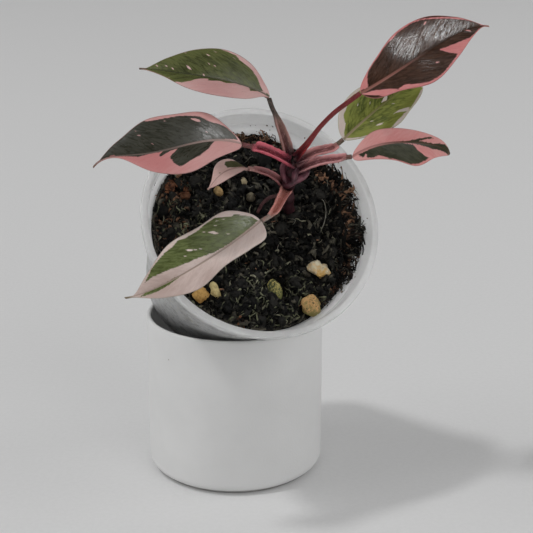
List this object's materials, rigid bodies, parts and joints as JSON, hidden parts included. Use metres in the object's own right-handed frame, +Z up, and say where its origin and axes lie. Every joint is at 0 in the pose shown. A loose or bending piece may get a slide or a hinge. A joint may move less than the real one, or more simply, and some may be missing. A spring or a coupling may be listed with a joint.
{
  "type": "potted pink princess philodendron",
  "caption": "Young philodendron with pink-variegated leaves in a milky plastic nursery pot that lies tilted in the mouth of a plain white ceramic outer pot.",
  "frame": {"origin": "centre of the outer pot's flat underside, on the surface that it stands on", "axes": "+Z up; the tilted nursery pot opens towards -Y and a little towards +X; +X is to the right seen from the front"},
  "size_m": [0.1882, 0.1597, 0.2487],
  "materials": {
    "white_ceramic": "plain off-white, smooth matt glaze",
    "milky_plastic": "thin translucent milky plastic, soft gloss",
    "potting_mix": "dark damp moss and coir, rough",
    "stem_skin": "dark maroon, satin",
    "petiole_skin": "rose to maroon, satin, paler on the wings",
    "leaf_1": "mid green with pink lower half and flecks, satin",
    "leaf_2": "near-black green with pink lower half, satin",
    "leaf_3": "whitish pink with a green blotch, satin",
    "leaf_4": "green half and pink-white half, satin",
    "leaf_5": "glossy brown-black with a pink margin and midrib",
    "leaf_6": "yellow-green with cream margin and flecks, satin",
    "leaf_7": "pink half and dark green half, satin",
    "ochre_pumice": "porous, matt",
    "pale_pumice": "porous, matt",
    "mossy_pumice": "porous, matt, greenish",
    "baked_clay": "porous, matt, orange",
    "bark": "fibrous, matt"
  },
  "bodies": {
    "root": {"outer_pot": "white_ceramic", "nursery_pot": "milky_plastic", "soil": "potting_mix", "stem": "stem_skin", "root": "stem_skin", "petiole_1": "petiole_skin", "petiole_2": "petiole_skin", "petiole_3": "petiole_skin", "petiole_4": "petiole_skin", "petiole_5": "petiole_skin", "petiole_6": "petiole_skin", "petiole_7": "petiole_skin", "blade_1": "leaf_1", "blade_2": "leaf_2", "blade_3": "leaf_3", "blade_4": "leaf_4", "blade_5": "leaf_5", "blade_6": "leaf_6", "blade_7": "leaf_7", "pumice_1": "ochre_pumice", "pumice_2": "pale_pumice", "pumice_3": "ochre_pumice", "pumice_4": "pale_pumice", "clay_1": "baked_clay", "pumice_5": "mossy_pumice", "pumice_6": "pale_pumice", "clay_2": "baked_clay", "bark_1": "bark", "bark_2": "bark"}
  },
  "joints": []
}
